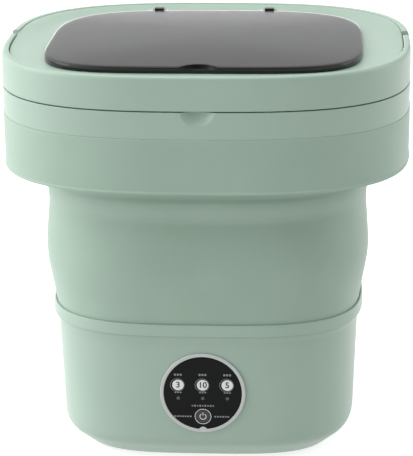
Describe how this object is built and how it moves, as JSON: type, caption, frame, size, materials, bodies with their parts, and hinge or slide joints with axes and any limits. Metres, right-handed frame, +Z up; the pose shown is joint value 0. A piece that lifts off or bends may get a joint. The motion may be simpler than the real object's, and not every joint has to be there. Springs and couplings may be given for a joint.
{
  "type": "portable mini washer",
  "caption": "Folding bucket washer: tapered base with round control panel, soft folding wall, wide collar with carry handle, lid with smoked flap.",
  "frame": {"origin": "on the floor, under the middle of the collar's outline", "axes": "+Z up, -Y towards the side with the control panel, +X to the right of someone facing the panel"},
  "size_m": [0.2998, 0.2618, 0.3072],
  "materials": {
    "sage_shell": "satin moulded",
    "sage_inner": "matte moulded",
    "sage_soft": "soft matte elastomer",
    "black_rubber": "matte",
    "smoked_window": "polished smoked",
    "black_plastic": "satin",
    "black_gloss": "gloss",
    "bezel_grey": "satin",
    "white_plastic": "satin moulded",
    "gear_plastic": "machined look",
    "steel": "bright",
    "magnet": "sintered",
    "rotor_iron": "laminated",
    "board_green": "solder mask"
  },
  "bodies": {
    "base": {"base_shell": "sage_shell", "bottom_cover": "sage_inner", "feet": "black_rubber", "cover_screws": "steel", "tub_pan": "sage_inner", "wall_gasket": "black_rubber", "clamp_ring": "sage_shell", "folding_wall": "sage_soft", "motor_bracket": "steel", "bracket_screws": "steel", "motor_can": "steel", "motor_end_cap": "black_plastic", "motor_magnets": "magnet", "motor_screws": "steel", "bearing_housing": "sage_inner", "upper_bearing": "steel", "lower_bearing": "steel", "shaft_seal": "black_rubber", "drain_grate": "white_plastic", "drain_pipe": "white_plastic", "drain_spout": "sage_inner", "control_board": "board_green", "board_screws": "steel", "program_lamps": "white_plastic", "start_switch": "black_plastic", "panel_ring": "bezel_grey", "panel_lens": "black_gloss", "power_inlet": "black_plastic"},
    "collar": {"upper_rim": "sage_shell", "collar_band": "sage_soft", "band_core": "sage_inner", "handle_pins": "steel"},
    "handle": {"carry_handle": "sage_shell"},
    "lid": {"lid_plate": "sage_shell", "lid_gasket": "black_rubber", "hinge_pins": "steel"},
    "window": {"window_flap": "smoked_window", "window_hinges": "black_plastic"},
    "pulsator_group": {"pulsator": "white_plastic", "drain_basket": "white_plastic", "basket_nut": "sage_shell", "pulsator_shaft": "steel", "drive_gear": "gear_plastic"},
    "motor_rotor": {"motor_shaft": "steel", "rotor_core": "rotor_iron", "pinion": "gear_plastic"},
    "start_button": {"start_button": "black_plastic"},
    "drain_plug": {"drain_plug": "black_rubber"}
  },
  "joints": [
    {"name": "tub_fold", "type": "slide", "parent": "base", "child": "collar", "axis": [0, 0, -1], "range_m": [0, 0.1], "deforming": ["folding_wall"]},
    {"name": "handle_swing", "type": "hinge", "parent": "collar", "child": "handle", "pos_m": [0, 0.008, 0.29095], "axis": [-1, 0, 0], "range_deg": [0, 90]},
    {"name": "lid_lift", "type": "slide", "parent": "collar", "child": "lid", "axis": [0, 0, 1], "range_m": [0, 0.012]},
    {"name": "window_open", "type": "hinge", "parent": "lid", "child": "window", "pos_m": [0, 0.09, 0.3046], "axis": [-1, 0, 0], "range_deg": [0, 100]},
    {"name": "pulsator_spin", "type": "hinge", "parent": "base", "child": "pulsator_group", "pos_m": [0, 0, 0.06], "axis": [0, 0, 1], "continuous": true},
    {"name": "motor_spin", "type": "hinge", "parent": "base", "child": "motor_rotor", "pos_m": [0, 0.0375, 0.03], "axis": [0, 0, 1], "continuous": true},
    {"name": "start_press", "type": "slide", "parent": "base", "child": "start_button", "axis": [0, 0.9993, 0.0385], "range_m": [0, 0.0006], "stiffness_N_per_m": 400},
    {"name": "plug_pull", "type": "slide", "parent": "base", "child": "drain_plug", "axis": [0, 1, 0], "range_m": [0, 0.012]}
  ],
  "couplings": [
    {"joint": "motor_spin", "follows": "pulsator_spin", "ratio": -4}
  ]
}
